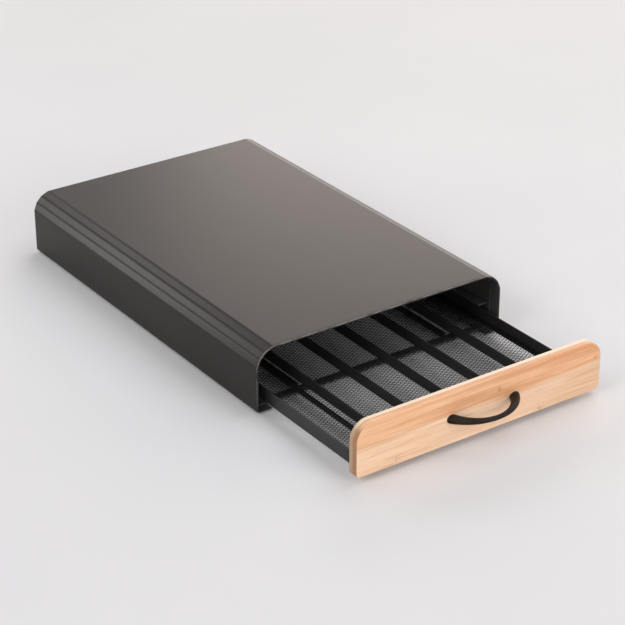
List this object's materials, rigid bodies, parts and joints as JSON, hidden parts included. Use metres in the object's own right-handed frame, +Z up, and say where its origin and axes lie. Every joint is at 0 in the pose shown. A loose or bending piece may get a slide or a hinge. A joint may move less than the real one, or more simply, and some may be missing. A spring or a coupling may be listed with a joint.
{
  "type": "coffee capsule drawer keeper",
  "caption": "Low table-top keeper for coffee capsules: a bent dark steel cover with a sliding mesh drawer in lanes, a bamboo drawer front and a dark bow handle.",
  "frame": {"origin": "on the table, below the middle of the whole outline with the drawer open as in the picture", "axes": "+Z up, +Y from the drawer front to the closed back, so the drawer opens towards -Y"},
  "size_m": [0.25, 0.5232, 0.0578],
  "materials": {
    "cover_paint": "satin dark bronze-grey powder coat on bent sheet steel",
    "black_steel": "satin black powder coat on steel strip",
    "black_mesh": "satin black powder coat on expanded diamond mesh",
    "rubber": "matte black rubber pad",
    "bamboo": "clear satin lacquer on laminated bamboo with lengthwise grain",
    "handle_bronze": "dark bronze lacquer, satin",
    "zinc": "zinc-plated steel"
  },
  "bodies": {
    "cover": {"cover_shell": "cover_paint", "rear_panel": "cover_paint", "front_sill": "black_steel", "rear_sill": "black_steel", "base_rail_left": "black_steel", "base_rail_right": "black_steel", "runner_left": "black_steel", "runner_right": "black_steel", "guide_left": "black_steel", "guide_right": "black_steel", "foot_front_left": "rubber", "foot_front_right": "rubber", "foot_rear_left": "rubber", "foot_rear_right": "rubber"},
    "drawer": {"side_wall_left": "black_steel", "side_wall_right": "black_steel", "tray_rear_wall": "black_steel", "tray_front_plate": "black_steel", "divider_1": "black_steel", "divider_2": "black_steel", "divider_3": "black_steel", "divider_4": "black_steel", "divider_5": "black_steel", "strap_1": "black_steel", "strap_2": "black_steel", "strap_3": "black_steel", "strap_4": "black_steel", "stop_tab_left": "black_steel", "stop_tab_right": "black_steel", "tray_floor": "black_mesh", "front_panel": "bamboo", "handle": "handle_bronze", "panel_screws": "zinc", "handle_screws": "zinc"}
  },
  "joints": [
    {"name": "drawer_slide", "type": "slide", "parent": "cover", "child": "drawer", "axis": [0, -1, 0], "range_m": [-0.1305, 0.105]}
  ]
}
